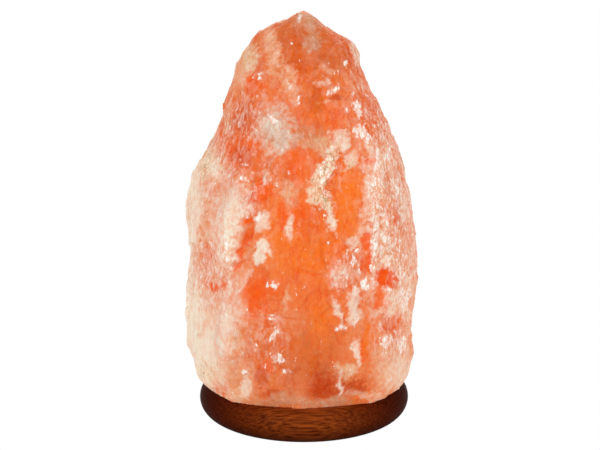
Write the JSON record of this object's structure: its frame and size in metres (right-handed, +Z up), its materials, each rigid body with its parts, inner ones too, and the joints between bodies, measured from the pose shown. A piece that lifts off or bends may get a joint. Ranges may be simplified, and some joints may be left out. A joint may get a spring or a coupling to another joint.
{
  "type": "salt crystal lamp",
  "caption": "Rough block of translucent rock salt on a round wooden base, lit from inside by a small screw-in bulb in a push-in holder.",
  "frame": {"origin": "on the table, on the axis of the round base", "axes": "+Z up along the axis of the base; the front is -Y; the cord inlet is at the back, +Y"},
  "size_m": [0.1656, 0.1499, 0.2936],
  "materials": {
    "salt": "matte",
    "wood": "satin",
    "anchor_nylon": "satin",
    "steel": "satin",
    "rubber": "matte",
    "black_plastic": "satin",
    "moulded_plastic": "satin",
    "white_ceramic": "gloss",
    "brass": "satin",
    "spring_steel": "satin",
    "bulb_glass": "gloss",
    "cap_metal": "satin",
    "black_glass": "gloss",
    "solder": "satin",
    "stem_glass": "gloss",
    "filament_wire": "satin"
  },
  "bodies": {
    "lamp": {"salt_crystal": "salt", "wooden_base": "wood", "screw_anchors": "anchor_nylon", "base_screws": "steel", "rubber_feet": "rubber", "cord_grommet": "black_plastic"},
    "holder": {"holder_barrel": "moulded_plastic", "cord_cap": "moulded_plastic", "cord_cap_screws": "steel", "contact_carrier": "white_ceramic", "contact_rivets": "brass", "socket_shell": "brass", "tongue_foot": "brass", "terminals": "brass", "terminal_screws": "steel", "clip_pads": "spring_steel", "clip_rivets": "steel"},
    "clip_left": {"clip_arm_left": "spring_steel"},
    "clip_right": {"clip_arm_right": "spring_steel"},
    "contact_tongue": {"centre_contact": "brass"},
    "bulb_tip": {"cap_contact": "solder", "cap_insulator": "black_glass"},
    "bulb": {"bulb_glass": "bulb_glass", "bulb_cap": "cap_metal", "bulb_stem": "stem_glass", "lead_wires": "steel", "filament": "filament_wire", "filament_supports": "steel"}
  },
  "joints": [
    {"name": "holder_slide", "type": "slide", "parent": "lamp", "child": "holder", "axis": [0, 0, -1], "range_m": [0, 0.1]},
    {"name": "clip_left_squeeze", "type": "hinge", "parent": "holder", "child": "clip_left", "pos_m": [-0.01435, 0, 0.041], "axis": [0, -1, 0], "range_deg": [0, 7], "stiffness_Nm_per_rad": 0.05, "springref_deg": -8.59},
    {"name": "clip_right_squeeze", "type": "hinge", "parent": "holder", "child": "clip_right", "pos_m": [0.01435, 0, 0.041], "axis": [0, 1, 0], "range_deg": [0, 7], "stiffness_Nm_per_rad": 0.05, "springref_deg": -8.59},
    {"name": "tongue_flex", "type": "hinge", "parent": "holder", "child": "contact_tongue", "pos_m": [-0.0035, 0, 0.0332], "axis": [0, 1, 0], "range_deg": [0, 8], "stiffness_Nm_per_rad": 0.02, "springref_deg": -5.73},
    {"name": "bulb_rise", "type": "slide", "parent": "holder", "child": "bulb_tip", "axis": [0, 0, 1], "range_m": [0, 0.00847]},
    {"name": "bulb_turn", "type": "hinge", "parent": "bulb_tip", "child": "bulb", "pos_m": [0, 0, 0.03605], "axis": [0, 0, 1], "range_deg": [0, 1080]}
  ],
  "couplings": [
    {"joint": "bulb_turn", "follows": "bulb_rise", "rad_per_m": 2226.5}
  ]
}
